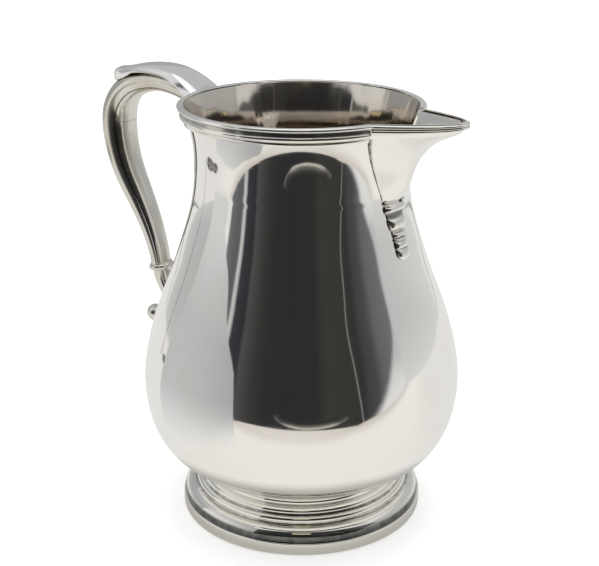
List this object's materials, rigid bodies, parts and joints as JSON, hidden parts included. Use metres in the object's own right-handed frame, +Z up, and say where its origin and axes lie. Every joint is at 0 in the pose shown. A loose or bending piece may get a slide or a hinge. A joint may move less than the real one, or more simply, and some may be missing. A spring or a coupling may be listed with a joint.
{
  "type": "water pitcher",
  "caption": "Footed baluster-shaped silver water pitcher with a moulded rim, a V-shaped pouring spout with a cast drop, and a hollow scroll handle.",
  "frame": {"origin": "on the surface that the foot stands on, at the middle of the bounding box in X and Y; the body's axis of revolution is 18.75 mm from it towards +X", "axes": "+Z up along the body's axis, +X towards the spout's tip, -X towards the handle"},
  "size_m": [0.2132, 0.1558, 0.2147],
  "materials": {
    "body_silver": "hand-polished silver with very fine wipe marks and a faint warm tarnish inside",
    "moulding_silver": "polished silver with darker tarnish left in the grooves",
    "handle_silver": "worn polished silver, slightly warmer and duller, tarnished along the seams",
    "foot_silver": "polished silver with darker tarnish left in the grooves"
  },
  "bodies": {
    "root": {"body": "body_silver", "spout": "body_silver", "rim_moulding": "moulding_silver", "spout_moulding_left": "moulding_silver", "spout_moulding_right": "moulding_silver", "spout_drop": "moulding_silver", "handle_shell": "handle_silver", "handle_strip_upper": "handle_silver", "handle_strip_lower": "handle_silver", "thumb_plate": "handle_silver", "handle_collar": "handle_silver", "handle_scroll": "handle_silver", "foot_collar": "foot_silver", "foot_ring": "foot_silver", "foot_wire": "foot_silver"}
  },
  "joints": []
}
